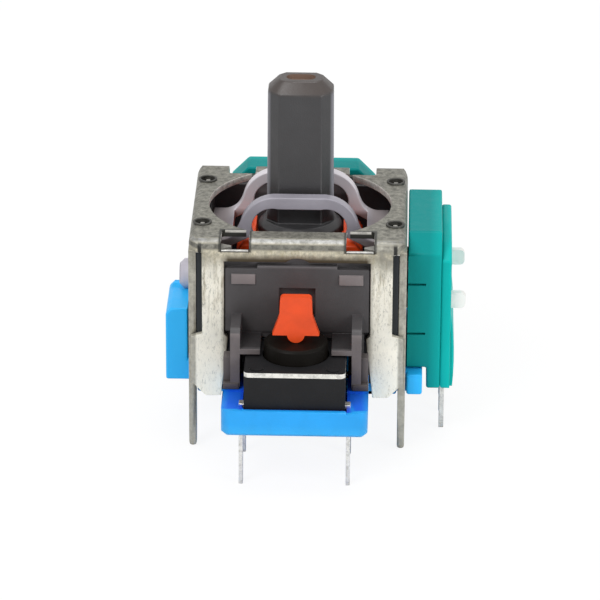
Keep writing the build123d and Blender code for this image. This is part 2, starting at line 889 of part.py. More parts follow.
def tab_slots():
    slots = []
    gap = running_gap
    for side in (-1, 1):
        middle = side * tab_middle
        across = (middle - sheet / 2 - gap, middle + sheet / 2 + gap)
        tall = (pivot_z - tab_width / 2 - gap, pivot_z + tab_width / 2 + gap)
        slots.append(block((frame_half, tab_reach + cut_past), across, tall))
    return slots


def terminal_places():
    return [-terminal_pitch, 0, terminal_pitch]


def make_pot_body():
    body = extrude(pot_outline(pot_top_half, pot_top, pot_shoulder), pot_body_depth, dir=(1, 0, 0))
    body = Pos(pot_inner, 0, 0) * body
    foot = (terminal_block_bottom, pot_bottom)
    body += block((terminal_block_inner, pot_split), both_ways(pot_half_width), foot)
    body -= bar(pot_bore, (pot_inner - cut_past, 0, pivot_z), (board_inner, 0, pivot_z))
    board_room = (board_bottom, board_top)
    body -= block((board_inner, pot_split), both_ways(board_half), board_room)
    for height in (pot_notch_low, pot_notch_high):
        notch = block(
            (pot_inner - cut_past, pot_inner + pot_notch_width),
            (pot_half_width - pot_notch_depth, pot_half_width + cut_past),
            (height, height + pot_notch_height),
        )
        body -= notch + mirror(notch, about=Plane.XZ)
    for slot in tab_slots():
        body -= slot
    return body


def make_pot_cover():
    lowered = pot_top - cover_top
    cover = extrude(
        pot_outline(pot_top_half - lowered / 2, cover_top, pot_shoulder - lowered / 2),
        pot_cover_depth,
        dir=(1, 0, 0),
    )
    cover = Pos(pot_split, 0, 0) * cover
    cover += block((pot_split, pot_outer), both_ways(pot_half_width), (terminal_block_bottom, pot_bottom))
    cover += cover_bulge()
    room = seat_gap
    for y in terminal_places():
        across = (y - terminal_width / 2 - room, y + terminal_width / 2 + room)
        deep = (pot_split, pot_split + terminal_thickness + room)
        cover -= block(deep, across, (-cut_past, terminal_head + room))
    for slot in tab_slots():
        cover -= slot
    return cover


def cover_bulge():
    """Shallow rounded swelling over the lower half of the cover."""
    start = (pot_outer, 0, bulge_top)
    middle = (pot_outer + bulge, 0, (bulge_top + terminal_block_bottom) / 2)
    end = (pot_outer + bulge_foot, 0, terminal_block_bottom)
    foot = (pot_outer - bulge, 0, terminal_block_bottom)
    head = (pot_outer - bulge, 0, bulge_top)
    outline = make_face([ThreePointArc(start, middle, end), Polyline(end, foot, head, start)])
    return extrude(outline, pot_half_width - bulge_inset, both=True)


def make_pot_board():
    board = block((board_inner, pot_split), both_ways(board_half), (board_bottom, board_top))
    for slot in tab_slots():
        board -= slot
    return board


def make_pot_terminal(y):
    across = (y - terminal_width / 2, y + terminal_width / 2)
    blade = block((pot_split, pot_split + terminal_thickness), across, (tip_level, terminal_head))
    tip = blade.edges().filter_by(Axis.X).group_by(Axis.Z)[0]
    return chamfer(tip, terminal_width / 4)


def make_rotor():
    rotor = bar(rotor_radius, (rotor_inner, 0, pivot_z), (rotor_outer, 0, pivot_z))
    start = rotor_inner - cut_past
    end = rotor_outer + cut_past
    key = bar(axle_radius + running_gap, (start, 0, pivot_z), (end, 0, pivot_z))
    flat = key_flat / 2 + running_gap
    key &= block((start, end), both_ways(2 * axle_radius), (pivot_z - flat, pivot_z + flat))
    return rotor - key


def make_wiper():
    """Thin ring on the rotor with two sprung fingers towards the board."""
    ring = bar(wiper_radius, (rotor_outer, 0, pivot_z), (rotor_outer + wiper_sheet, 0, pivot_z))
    ring -= bar(wiper_bore, (rotor_outer, 0, pivot_z), (rotor_outer + wiper_sheet, 0, pivot_z))
    reach = board_inner - wiper_gap - rotor_outer
    for side in (-1, 1):
        middle = side * (wiper_radius + wiper_bore) / 2
        points = [
            (rotor_outer, middle, pivot_z),
            (rotor_outer + wiper_sheet, middle, pivot_z),
            (rotor_outer + reach, middle, pivot_z + finger_length),
            (rotor_outer + reach - wiper_sheet, middle, pivot_z + finger_length),
        ]
        ring += extrude(make_face(Polyline(*points, close=True)), finger_width / 2, both=True)
    return ring


def write(name, shape):
    export_step(shape, f"parts/{name}.step")


def main():
    write("frame_shell", make_frame_shell())
    write("housing", make_housing())
    write("base", make_base())
    write("stick", make_stick())
    write("upper_arm", make_upper_arm())
    write("lower_arm", make_lower_arm())
    write("spring_seat", make_spring_seat())
    write("return_spring", make_spring())
    write("switch_case", make_switch_case())
    write("switch_cover", make_switch_cover())
    write("switch_plunger", make_switch_plunger())
    write("switch_dome", make_switch_dome())
    right_strip = terminal_strip(0)
    write("switch_terminal_right", right_strip)
    write("switch_terminal_left", mirror(right_strip, about=Plane.YZ))
    pot_pieces = {
        "body": make_pot_body(),
        "cover": make_pot_cover(),
        "board": make_pot_board(),
        "rotor": make_rotor(),
        "wiper": make_wiper(),
    }
    for number, y in enumerate(terminal_places(), start=1):
        pot_pieces[f"terminal_{number}"] = make_pot_terminal(y)
    for name, piece in pot_pieces.items():
        write(f"side_pot_{name}", piece)
        write(f"rear_pot_{name}", on_rear(piece))


main()
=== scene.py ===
import json
import math

import bmesh
import bpy
from bpy.props import FloatProperty, FloatVectorProperty, PointerProperty
from bpy.types import Operator, Panel, PropertyGroup
from mathutils import Matrix, Vector


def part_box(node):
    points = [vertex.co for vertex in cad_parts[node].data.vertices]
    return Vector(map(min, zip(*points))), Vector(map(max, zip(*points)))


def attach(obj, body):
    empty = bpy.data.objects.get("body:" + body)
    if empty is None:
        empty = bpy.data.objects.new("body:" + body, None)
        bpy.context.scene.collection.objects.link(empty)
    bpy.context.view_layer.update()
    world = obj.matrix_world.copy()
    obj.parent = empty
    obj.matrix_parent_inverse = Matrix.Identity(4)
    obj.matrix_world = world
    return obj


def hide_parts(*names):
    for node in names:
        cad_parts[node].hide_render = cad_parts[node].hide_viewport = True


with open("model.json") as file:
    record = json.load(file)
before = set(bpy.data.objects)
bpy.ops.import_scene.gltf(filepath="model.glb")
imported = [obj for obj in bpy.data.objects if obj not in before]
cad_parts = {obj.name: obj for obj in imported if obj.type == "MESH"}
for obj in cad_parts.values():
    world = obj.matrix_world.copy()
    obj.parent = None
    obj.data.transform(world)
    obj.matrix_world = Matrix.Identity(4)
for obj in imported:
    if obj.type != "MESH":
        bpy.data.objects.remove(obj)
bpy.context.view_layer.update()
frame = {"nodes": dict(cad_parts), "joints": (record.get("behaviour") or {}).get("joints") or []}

bl_info = {
    "name": "Two-axis analog stick",
    "version": (1, 0, 0),
    "blender": (4, 5, 0),
    "location": "View3D > Sidebar > Analog Stick",
    "description": "Dresses the analog stick module and sets its studio",
    "category": "Add Mesh",
}

MM = 0.001


def corners(node):
    """Lowest and highest corner of a CAD node at rest, in millimetres."""
    return [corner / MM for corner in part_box(node)]


# Places on the folded frame, in millimetres
FRAME_LOW, FRAME_HIGH = corners("frame_shell")
FRAME_FRONT = FRAME_LOW.y
HALF = -FRAME_FRONT
PLATE_TOP = FRAME_HIGH.z
TIP_LEVEL = FRAME_LOW.z
SHEET = 0.45
OPENING_RADIUS = HALF - 1.0
EAR_HOLE_X = HALF - 0.75
EAR_HOLE_Y = HALF - 3.1
EAR_HOLE_RADIUS = 0.45
WINDOW_OUTER = HALF - 2.0
WINDOW_INNER = WINDOW_OUTER - 1.7
WINDOWS_REAR = FRAME_FRONT + 2.15
WINDOW_BOTTOM = PLATE_TOP - 0.75
SILL_TOP = WINDOW_BOTTOM + 0.12
BAND_BOTTOM = PLATE_TOP - 1.3
LEG_OUTER = HALF - 0.85
PAD_TOP = 4.2

# Places on the stick and its arms
PIVOT = next(joint["pos_m"][2] for joint in frame["joints"] if joint["name"] == "tilt_fore") / MM
STICK_TOP = corners("stick")[1].z
SHAFT_ROOT = 9.55
SHAFT_HALF_WIDTH = 2.05
SHAFT_HALF_FLAT = 0.73
DIMPLE_HALF_LENGTH = 0.9
DIMPLE_HALF_WIDTH = 0.475
DIMPLE_DEPTH = 0.3
SHOULDER_TOP = 9.0

# Places on the housing, whose foremost faces are the forks'
HOUSING_HALF = HALF - SHEET - 0.05
FORK_FRONT = corners("housing")[0].y
FORK_INNER = 3.38
FORK_OUTER = 3.97
FORK_BOTTOM = 2.0
SHELF_TOP = 4.55
BLOCK_TOP = 8.75
SPOT_BOTTOM = 7.76
SPOT_TOP = 8.4
SPOT_INNER = 2.55

# Places on the base, the switch and the potentiometers
BASE_FRONT = corners("base")[0].y
POCKET_FRONT = BASE_FRONT + 0.25
POCKET_SIDES_REAR = BASE_FRONT + 2.85
FRONT_WALL_TOP = 1.78
PIN_SLOT_TOP = 1.9
PIN_SLOT_LOWERED = FRONT_WALL_TOP - 0.10
SWITCH_Y = sum(corner.y for corner in corners("switch_cover")) / 2
SWITCH_HALF = corners("switch_cover")[1].x
COVER_TOP_REACH = 2.6
TAB_PLACE = 3.45
TAB_ROOM = 0.45
TAB_HEADROOM = 0.7
POT_BODY_REACH = corners("side_pot_body")[1].x
TABS_FROM = HALF + 0.85


# Sizes and colours that a user may change
def length(label, text, default):
    """Size property in metres from a default in millimetres."""
    return FloatProperty(name=label, description=text, default=default * MM, unit="LENGTH", precision=5)


def colour(label, text, default):
    """Colour property."""
    return FloatVectorProperty(
        name=label, description=text, default=default, size=3, subtype="COLOR", min=0, max=1,
    )


class EdgeSizes(PropertyGroup):
    steel: length("Steel edge", "Rounding of the stamped sheet's edges", 0.05)
    moulded: length("Moulded edge", "Rounding of the moulded pieces' edges", 0.08)
    soft: length("Soft edge", "Rounding of the base and the potentiometers", 0.14)
    fine: length("Fine edge", "Rounding of the smallest metal pieces", 0.03)
    tips: length("Leg tips", "Rounding of the solder legs' tips", 0.16)


class Finishes(PropertyGroup):
    steel: colour("Tinned steel", "Clean tin on the folded frame", (0.90, 0.87, 0.76))
    steel_worn: colour("Worn tin", "Dull grey patches on the frame", (0.17, 0.165, 0.14))
    steel_stain: colour("Stain", "Yellowish stains on the frame", (0.50, 0.42, 0.24))
    # Grime with painted shade along the front band's lower edge
    steel_grime_and_shade: colour("Grime", "Brown grime along the front band's lower edge", (0.06, 0.045, 0.025))
    steel_pad: colour("Pads", "Creamy tin on the front pads", (1.0, 0.96, 0.83))
    # Painted highlight along the front bend
    steel_highlight: colour("Shine", "Bright line along the front bend", (0.42, 0.42, 0.41))
    # Painted shade along the front windows' cut edges
    steel_outline_shade: colour("Outline", "Dark cut edges beside the front windows", (0.03, 0.03, 0.026))
    # Painted shade standing in for the dark relief slits over the front legs
    steel_slit_shade: colour("Relief cuts", "Dark cuts over the front legs' slits", (0.02, 0.02, 0.018))
    tab: colour("Tabs", "Bright tabs that hold the potentiometers", (0.92, 0.91, 0.88))
    cut_edge: colour("Cut edge", "Bright cut edge of the sheet", (0.84, 0.82, 0.76))
    cut_edge_dull: colour("Dull cut edge", "Duller patches on the cut edge", (0.46, 0.45, 0.42))
    # Painted shade on the walls of the front windows
    window_wall_shade: colour("Window walls", "Dark walls of the front windows", (0.05, 0.05, 0.045))
    # Dark rims of the ears' holes, also painted shade on the holes' walls
    hole_rim_and_shade: colour("Hole rims", "Dark rims of the ears' holes", (0.07, 0.068, 0.06))
    gusset: colour("Gussets", "Dull steel of the windows' gussets", (0.36, 0.35, 0.32))
    stick: colour("Stick", "Dark grey stick", (0.039, 0.038, 0.040))
    # Painted highlight on the stick's upright edges
    stick_edge_highlight: colour("Stick's edges", "Polished upright edges of the stick", (0.24, 0.24, 0.27))
    stick_tip: colour("Stick's tip", "Brownish tip of the stick", (0.054, 0.043, 0.039))
    dimple: colour("Dimple", "Brown bottom of the dimple in the stick", (0.22, 0.145, 0.11))
    housing: colour("Housing", "Dark grey housing", (0.062, 0.058, 0.060))
    # Paler spots; a darker copy gives the painted light on the forks' front faces
    spot: colour("Spot", "Paler spots and ribs of the housing", (0.19, 0.165, 0.165))
    # Painted shade in the housing's gaps
    gap: colour("Gap", "Near-black inside of the housing's gaps", (0.012, 0.016, 0.020))
    blue: colour("Base", "Blue base", (0.015, 0.36, 0.86))
    # Painted shade in the pocket and on its walls' tops
    pocket_shade_blue: colour("Pocket", "Deeper blue of the pocket's walls", (0.006, 0.085, 0.72))
    # Painted light: paler blue near the board
    low_light_blue: colour("Base's foot", "Paler blue near the board", (0.06, 0.55, 0.95))
    side_blue: colour("Base's sides", "Brighter blue of the post and the strip", (0.02, 0.48, 1.0))
    green: colour("Potentiometer", "Green potentiometers", (0.003, 0.25, 0.245))
    # Painted light: lighter green towards the potentiometers' outer faces
    outer_light_green: colour("Cover", "Lighter green covers of the potentiometers", (0.004, 0.56, 0.52))
    orange: colour("Lower arm", "Orange lower arm", (0.78, 0.075, 0.012))
    lavender: colour("Upper arm", "Milky lavender upper arm", (0.33, 0.315, 0.36))
    # Painted light on the upper arm's rear arch
    rear_arch_light: colour("Rear arch", "Paler rear arch of the upper arm", (0.80, 0.76, 0.80))
    # Painted shade on the upper arm's shoulders, under the frame
    shoulder_shade: colour("Shoulders", "Browner shoulders of the upper arm", (0.23, 0.195, 0.195))
    black: colour("Switch", "Black push switch", (0.012, 0.012, 0.013))
    plunger: colour("Plunger", "Black plunger", (0.006, 0.005, 0.004))
    pin: colour("Pins", "Tinned pins", (0.84, 0.83, 0.79))
    board: colour("Board", "Brown element board", (0.10, 0.035, 0.012))
    brass: colour("Contacts", "Sprung contacts", (0.72, 0.48, 0.16))


class StageSettings(PropertyGroup):
    azimuth: FloatProperty(name="Azimuth", description="Camera's turn round the stick", default=1.442)
    elevation: FloatProperty(name="Elevation", description="Camera's height over the board", default=23.323)
    roll: FloatProperty(name="Roll", description="Camera's roll", default=0.334)
    distance: length("Distance", "Camera to the stick's middle", 255.906)
    lens: FloatProperty(name="Lens", description="Focal length in millimetres", default=245.284)
    target: length("Target", "Height that the camera looks at", 3.888)
    shift: length("Sideways", "Place across the stick that the camera looks at", 0.01)
    floor: length("Floor", "Height of the floor, at the tips of the pins", -3.52)
    floor_radius: length("Floor's radius", "Radius of the round floor", 3000)
    floor_glow: FloatProperty(name="Floor's glow", description="White that the camera sees", default=1.03)
    floor_blend: FloatProperty(name="Glow's share", description="Share of glow over shadow", default=0.88)
    world_light: FloatProperty(name="World's light", description="Its light on the stick", default=0.34)
    world_mirror: FloatProperty(name="Mirrored", description="White in reflections", default=0.75)
    lamp_target: length("Lamps' target", "Height that the lamps point at", 6)


# Material nodes
def shade(values, factor):
    """A colour made darker or lighter."""
    return tuple(min(1.0, value * factor) for value in values)


class Finish:
    """A material with a Principled shader and short calls for the nodes that feed it."""

    def __init__(self, name):
        self.material = bpy.data.materials.new(name)
        self.material.use_nodes = True
        self.tree = self.material.node_tree
        self.shader = self.tree.nodes["Principled BSDF"]
        self.coordinates = self.tree.nodes.new("ShaderNodeTexCoord").outputs["Object"]
        self.surface = None

    def set(self, **values):
        """Sets sockets of the shader by name, with _ for a space."""
        for name, value in values.items():
            self.shader.inputs[name.replace("_", " ")].default_value = value

    def link(self, name, value):
        """Feeds a socket of the shader."""
        self.tree.links.new(value, self.shader.inputs[name])

    def node(self, kind, inputs, **settings):
        """New node whose inputs are linked or set."""
        node = self.tree.nodes.new(kind)
        for name, value in settings.items():
            setattr(node, name, value)
        for name, value in inputs.items():
            if hasattr(value, "links"):
                self.tree.links.new(value, node.inputs[name])
            else:
                node.inputs[name].default_value = value
        return node

    def read_place(self):
        """Object coordinates along X, Y and Z, and the distance from the middle plane."""
        split = self.node("ShaderNodeSeparateXYZ", {"Vector": self.coordinates})
        self.x, self.y, self.z = split.outputs["X"], split.outputs["Y"], split.outputs["Z"]
        self.across = self.math("ABSOLUTE", self.x, 0.0)

    def math(self, operation, a, b):
        """Result of a Math node."""
        return self.node("ShaderNodeMath", {0: a, 1: b}, operation=operation).outputs[0]

    def times(self, first, *others):
        """Product of two or more values."""
        for other in others:
            first = self.math("MULTIPLY", first, other)
        return first

    def ramp(self, value, low, high, dark=0.0, light=1.0):
        """Stretches a value from low..high to dark..light, clamped."""
        inputs = {"Value": value, "From Min": low, "From Max": high, "To Min": dark, "To Max": light}
        return self.node("ShaderNodeMapRange", inputs).outputs["Result"]

    def above(self, value, start, fade, dark=0.0, light=1.0):
        """Dark up to a place in millimetres, light from a fade past it."""
        return self.ramp(value, start * MM, (start + fade) * MM, dark, light)

    def below(self, value, start, fade):
        """0 down to a place in millimetres, 1 from a fade past it."""
        return self.ramp(value, start * MM, (start - fade) * MM)

    def zone(self, value, low, inner_low, inner_high, high):
        """1 between the two middle limits in millimetres, fading to 0 at the outer two."""
        return self.times(self.above(value, low, inner_low - low), self.below(value, high, high - inner_high))

    def stretched(self, x, y, z):
        """Object coordinates stretched along the axes."""
        mapping = self.node("ShaderNodeMapping", {"Vector": self.coordinates, "Scale": (x, y, z)})
        return mapping.outputs["Vector"]

    def noise(self, size, detail=4.0, roughness=0.55, vector=None):
        """Noise whose blobs are about size millimetres across."""
        inputs = {
            "Vector": vector or self.coordinates, "Scale": 1 / (size * MM), "Detail": detail,
            "Roughness": roughness,
        }
        return self.node("ShaderNodeTexNoise", inputs).outputs["Fac"]

    def cloud(self, size, detail=3.0, low=0.0, high=1.0):
        """Soft clouds between two values."""
        return self.ramp(self.noise(size, detail), 0.3, 0.7, low, high)

    def dull_patches(self):
        """1 in the duller patches of bright metal."""
        return self.ramp(self.noise(0.4, 6.0, 0.7), 0.45, 0.7)

    def mix(self, share, a, b):
        """Colour between a and b."""
        node = self.tree.nodes.new("ShaderNodeMix")
        node.data_type = "RGBA"
        for socket, value in ((node.inputs[0], share), (node.inputs[6], a), (node.inputs[7], b)):
            if hasattr(value, "links"):
                self.tree.links.new(value, socket)
            else:
                socket.default_value = value if isinstance(value, float) else (*value, 1.0)
        return node.outputs[2]

    def lay(self, mask, colour_over):
        """Lays a colour over the surface where the mask is 1."""
        self.surface = self.mix(mask, self.surface, colour_over)

    def clouded(self, base, spread, size=1.6, detail=3.0):
        """Starts the surface with a colour that is cloudy by a spread."""
        darker, lighter = (spread, spread) if isinstance(spread, float) else spread
        self.surface = self.mix(self.cloud(size, detail), shade(base, 1 - darker), shade(base, 1 + lighter))

    def bump(self, height, depth):
        """Raises the surface by a depth in millimetres."""
        inputs = {"Height": height, "Distance": depth * MM, "Strength": 1.0}
        self.link("Normal", self.node("ShaderNodeBump", inputs).outputs["Normal"])

    def moulded_skin(self, smooth, rough, grain=0.01):
        """Uneven sheen between two roughnesses, over a fine grain."""
        self.link("Base Color", self.surface)
        self.link("Roughness", self.cloud(0.5, 5.0, smooth, rough))
        if grain:
            self.bump(self.noise(0.09, 3.0), grain)


def moulded(name, base, roughness=0.38, **shader_values):
    """Moulded plastic: slight cloudiness, satin sheen and a fine grain."""
    finish = Finish(name)
    finish.clouded(base, 0.12)
    finish.moulded_skin(roughness - 0.06, roughness + 0.08)
    finish.set(**shader_values)
    return finish.material


def bright_metal(name, base, roughness=0.3, metallic=0.9):
    """Bright metal with duller patches."""
    finish = Finish(name)
    finish.link("Base Color", finish.mix(finish.dull_patches(), base, shade(base, 0.55)))
    finish.link("Roughness", finish.cloud(0.2, 4.0, roughness, roughness + 0.2))
    finish.bump(finish.noise(0.15, 5.0), 0.01)
    finish.set(Metallic=metallic)
    return finish.material


class TinnedSteel(Finish):
    """Tin on sheet steel: creamy legs, a worn and stained front band with a painted highlight and painted
    shade along its bend, painted shade beside its windows and grime with painted shade at its lower edge, a
    dull oxidised top.
    """

    def __init__(self, finishes):
        super().__init__("tinned_steel")
        self.read_place()
        self.finishes = finishes
        self.worn = finishes.steel_worn
        self.front = self.below(self.y, FRAME_FRONT + 1.05, 0.20)
        self.behind = self.math("SUBTRACT", 1.0, self.front)
        self.mottle = self.ramp(self.noise(0.35, 8.0, 0.7), 0.35, 0.68)
        self.lay_tin()
        self.lay_front_bend()
        self.lay_grime_and_shade()
        self.lay_top()
        self.lay_shade_lines()
        self.lay_sides()
        self.finish_skin()

    def patches(self, dark, light):
        """Mottled worn tin between two shades."""
        return self.mix(self.mottle, shade(self.worn, dark), shade(self.worn, light))

    def lay_tin(self):
        """Cloudy clean tin with streaks above the pads, pale pads and dark specks."""
        cloud = self.ramp(self.noise(1.4, 6.0, 0.65), 0.42, 0.66)
        self.surface = self.mix(self.times(cloud, 0.15), self.finishes.steel, shade(self.worn, 2.4))
        upright = self.noise(0.30, 7.0, 0.75, self.stretched(1.0, 1.0, 0.14))
        streaks = self.ramp(upright, 0.50, 0.66, 0.0, 0.8)
        over_pads = self.above(self.z, PAD_TOP, 3.3)
        self.lay(self.times(streaks, over_pads), shade(self.finishes.steel_stain, 0.55))
        self.pads = self.times(self.below(self.z, PAD_TOP, 0.8), self.front)
        self.lay(self.pads, self.finishes.steel_pad)
        specks = self.ramp(self.noise(0.12, 8.0, 0.8, self.stretched(1.0, 1.0, 0.35)), 0.52, 0.66)
        self.lay(self.times(specks, self.above(self.z, 2.5, 3.5, 0.5, 0.85)), shade(self.worn, 1.3))

    def lay_front_bend(self):
        """Stains towards the top, a dark line of painted shade and a painted highlight along the bend, and
        dark corners.
        """
        stained = self.ramp(self.mottle, 0.0, 1.0, 0.45, 1.0)
        stain = self.mix(self.mottle, shade(self.finishes.steel_stain, 0.9), shade(self.worn, 1.6))
        self.lay(self.times(self.above(self.z, PLATE_TOP - 1.9, 0.9), stained), stain)
        # Painted shade: a dark line of mottled worn tin along the bend, below the painted highlight
        bend = self.zone(self.z, *(PLATE_TOP - depth for depth in (0.62, 0.48, 0.28, 0.16)))
        self.lay(bend, self.patches(0.35, 1.15))
        # Painted highlight along the top of the bend
        highlight = self.zone(self.z, *(PLATE_TOP - depth for depth in (0.24, 0.14, 0.04, 0.01)))
        self.lay(highlight, self.mix(self.mottle, self.finishes.steel_highlight, shade(self.worn, 0.9)))
        corner = self.times(
            self.above(self.across, WINDOW_OUTER - 0.15, 0.6),
            self.above(self.z, PLATE_TOP - 2.7, 1.7),
            self.ramp(self.noise(0.7, 6.0, 0.7), 0.38, 0.58, 0.2, 0.85),
            self.above(self.x, -2.0, 6.0, 0.55, 1.0),
        )
        self.lay(corner, self.patches(0.8, 1.9))

    def lay_grime_and_shade(self):
        """Brown grime with painted shade along the lower edge of the front band."""
        low = self.times(
            self.below(self.z, BAND_BOTTOM + 0.54, 0.38), self.below(self.across, WINDOW_OUTER + 0.05, 0.5),
            self.front,
        )
        self.lay(low, self.finishes.steel_grime_and_shade)

    def lay_top(self):
        """Dull top plate, darker behind the stick."""
        side_bend = self.times(self.above(self.z, PLATE_TOP - 0.8, 0.25), self.behind)
        top = self.math("MAXIMUM", self.above(self.z, PLATE_TOP - 0.035, 0.025), side_bend)
        self.lay(top, self.patches(0.6, 2.1))
        behind_stick = self.times(
            self.above(self.y, HALF - 0.9, 0.15), self.below(self.across, WINDOW_OUTER - 0.25, 0.2),
        )
        self.lay(behind_stick, shade(self.worn, 0.8))

    def lay_shade_lines(self):
        """Painted shade: dark lines beside the front windows and over the slits of the front legs."""
        # Painted shade round the front windows
        beside = self.zone(
            self.across, WINDOW_INNER - 0.19, WINDOW_INNER - 0.10, WINDOW_OUTER + 0.11, WINDOW_OUTER + 0.20,
        )
        outline = self.times(
            beside, self.above(self.z, SILL_TOP - 0.07, 0.04), self.below(self.y, WINDOWS_REAR, 0.1), 0.9,
        )
        self.lay(outline, self.finishes.steel_outline_shade)
        # Painted shade over the front legs' slits, standing in for the dark gaps
        slit_shade = self.times(
            self.zone(self.across, LEG_OUTER, LEG_OUTER + 0.06, LEG_OUTER + 0.22, LEG_OUTER + 0.30),
            self.zone(self.z, *(PLATE_TOP - depth for depth in (1.0, 0.9, 0.3, 0.15))),
            self.front,
        )
        self.lay(slit_shade, self.finishes.steel_slit_shade)

    def lay_sides(self):
        """Worn side leaves, cleaner at their feet, and bright tabs."""
        sides = self.times(
            self.above(self.across, HALF - 0.53, 0.13), self.below(self.z, PLATE_TOP - 0.6, 0.3),
        )
        self.lay(self.times(sides, 0.8), self.patches(1.0, 2.6))
        self.lay(self.times(self.below(self.z, 1.2, 1.0), sides), self.patches(2.0, 2.9))
        tabs = self.above(self.math("MAXIMUM", self.x, self.y), TABS_FROM, 1.0)
        self.lay(tabs, self.finishes.tab)

    def finish_skin(self):
        """Uneven sheen, less metallic on the pads."""
        self.link("Base Color", self.surface)
        self.link("Roughness", self.cloud(0.6, 6.0, 0.34, 0.55))
        self.link("Metallic", self.math("SUBTRACT", 0.55, self.times(self.pads, 0.45)))
        self.bump(self.noise(0.25, 7.0, 0.7), 0.02)


def cut_edge_finish(finishes):
    """Bright cut edge of the sheet, with painted shade inside the windows of the front bend."""
    finish = Finish("cut_edge")
    finish.read_place()
    finish.surface = finish.mix(finish.dull_patches(), finishes.cut_edge, finishes.cut_edge_dull)
    # Painted shade on the window walls
    inside = finish.zone(finish.z, *(PLATE_TOP - depth for depth in (0.78, 0.72, 0.20, 0.14)))
    finish.lay(finish.times(inside, finish.below(finish.y, WINDOWS_REAR, 0.1)), finishes.window_wall_shade)
    finish.link("Base Color", finish.surface)
    finish.set(Metallic=0.35, Roughness=0.4)
    return finish.material


def stick_finish(finishes):
    """Moulded stick: a little brown at its tip, with painted highlights along its upright edges."""
    finish = Finish("stick_plastic")
    finish.read_place()
    finish.clouded(finishes.stick, 0.1)
    deep = finish.math("ABSOLUTE", finish.y, 0.0)
    # Painted highlight along the stick's upright edges
    edge = finish.times(
        finish.above(finish.across, SHAFT_HALF_WIDTH - 0.25, 0.15),
        finish.above(deep, SHAFT_HALF_FLAT - 0.23, 0.18),
        finish.above(finish.z, SHAFT_ROOT + 0.35, 0.6),
        0.8,
    )
    finish.lay(edge, finishes.stick_edge_highlight)
    finish.lay(finish.above(finish.z, STICK_TOP - 0.85, 0.25), finishes.stick_tip)
    finish.moulded_skin(0.30, 0.42)
    return finish.material


def arm_finish(finishes):
    """Milky upper arm, paler at the rear with painted light and browner at its shoulders with painted shade.
    """
    finish = Finish("lavender_plastic")
    finish.read_place()
    finish.clouded(finishes.lavender, 0.08, 1.2, 4.0)
    # Painted light on the rear arch
    finish.lay(finish.times(finish.above(finish.y, 0.5, 1.5), 0.8), finishes.rear_arch_light)
    # Painted shade on the shoulders
    finish.lay(finish.below(finish.z, SHOULDER_TOP + 0.3, 0.35), finishes.shoulder_shade)
    finish.lay(finish.above(finish.across, HALF - 0.15, 0.2), shade(finishes.lavender, 1.5))
    finish.moulded_skin(0.28, 0.40, None)
    finish.set(Specular_IOR_Level=0.45)
    return finish.material


def housing_finish(finishes):
    """Moulded housing: pale crown of painted light, dark shelves of painted shade, near black painted shade
    in the gaps beside the front legs.
    """
    finish = Finish("housing_plastic")
    finish.read_place()
    finish.clouded(finishes.housing, 0.1)
    # Painted light on the housing's crown
    crown = finish.times(finish.above(finish.z, BLOCK_TOP, 0.2), finish.below(finish.across, 3.2, 0.6), 0.8)
    finish.lay(crown, shade(finishes.housing, 2.4))
    # Painted shade on the shelves' tops
    shelf_shade = finish.times(
        finish.zone(finish.z, SHELF_TOP - 0.07, SHELF_TOP - 0.03, SHELF_TOP + 0.05, SHELF_TOP + 0.15),
        finish.zone(finish.y, FORK_FRONT + 0.25, FORK_FRONT + 0.35, FRAME_FRONT + 0.65, FRAME_FRONT + 0.75),
    )
    finish.lay(shelf_shade, shade(finishes.housing, 0.45))
    # Painted shade beside the front legs and under the ears
    beside_legs = finish.times(
        finish.above(finish.across, LEG_OUTER - 0.5, 0.2), finish.below(finish.y, FRAME_FRONT + 0.75, 0.2),
    )
    under_ears = finish.times(
        finish.above(finish.across, LEG_OUTER - 0.7, 0.2), finish.above(finish.z, PLATE_TOP - 0.9, 0.1),
    )
    finish.lay(finish.math("MAXIMUM", beside_legs, under_ears), finishes.gap)
    finish.moulded_skin(0.42, 0.56)
    finish.set(Specular_IOR_Level=0.35)
    return finish.material


def base_finish(finishes):
    """Moulded base: bright blue outside, paler near the board with painted light, deeper blue in the pocket
    that holds the switch with painted shade.
    """
    finish = Finish("blue_plastic")
    finish.read_place()
    finish.clouded(finishes.blue, (0.07, 0.05), 1.8)
    # Painted light near the board
    finish.lay(finish.times(finish.below(finish.z, 0.9, 0.7), 0.35), finishes.low_light_blue)
    finish.lay(finish.above(finish.across, HALF - 0.05, 0.2), finishes.side_blue)
    # Painted shade in the pocket that holds the switch
    wall_tops = finish.times(
        finish.above(finish.z, FRONT_WALL_TOP - 0.10, 0.09),
        finish.zone(finish.y, POCKET_FRONT, POCKET_FRONT + 0.15, FRAME_FRONT - 0.25, FRAME_FRONT - 0.05),
        finish.below(finish.across, 4.75, 0.75),
    )
    inside = finish.times(
        finish.below(finish.across, SWITCH_HALF + 0.55, 0.3), finish.below(finish.y, FRAME_FRONT - 0.05, 0.2),
        finish.above(finish.y, POCKET_FRONT - 0.03, 0.08),
    )
    finish.lay(finish.math("MAXIMUM", finish.times(wall_tops, 0.85), inside), finishes.pocket_shade_blue)
    finish.moulded_skin(0.34, 0.46, 0.008)
    finish.set(Specular_IOR_Level=0.35)
    return finish.material


def pot_finish(finishes):
    """Green potentiometer, lighter towards its outer face with painted light."""
    finish = Finish("green_plastic")
    finish.read_place()
    # Painted light towards the outer faces
    outwards = finish.above(finish.math("MAXIMUM", finish.x, finish.y), POT_BODY_REACH - 0.8, 1.8)
    finish.surface = finish.mix(outwards, finishes.green, finishes.outer_light_green)
    finish.lay(finish.cloud(2.5, 2.0, 0.0, 0.15), finishes.green)
    finish.moulded_skin(0.36, 0.46, 0.008)
    finish.set(Specular_IOR_Level=0.08)
    return finish.material


MATERIALS = {}


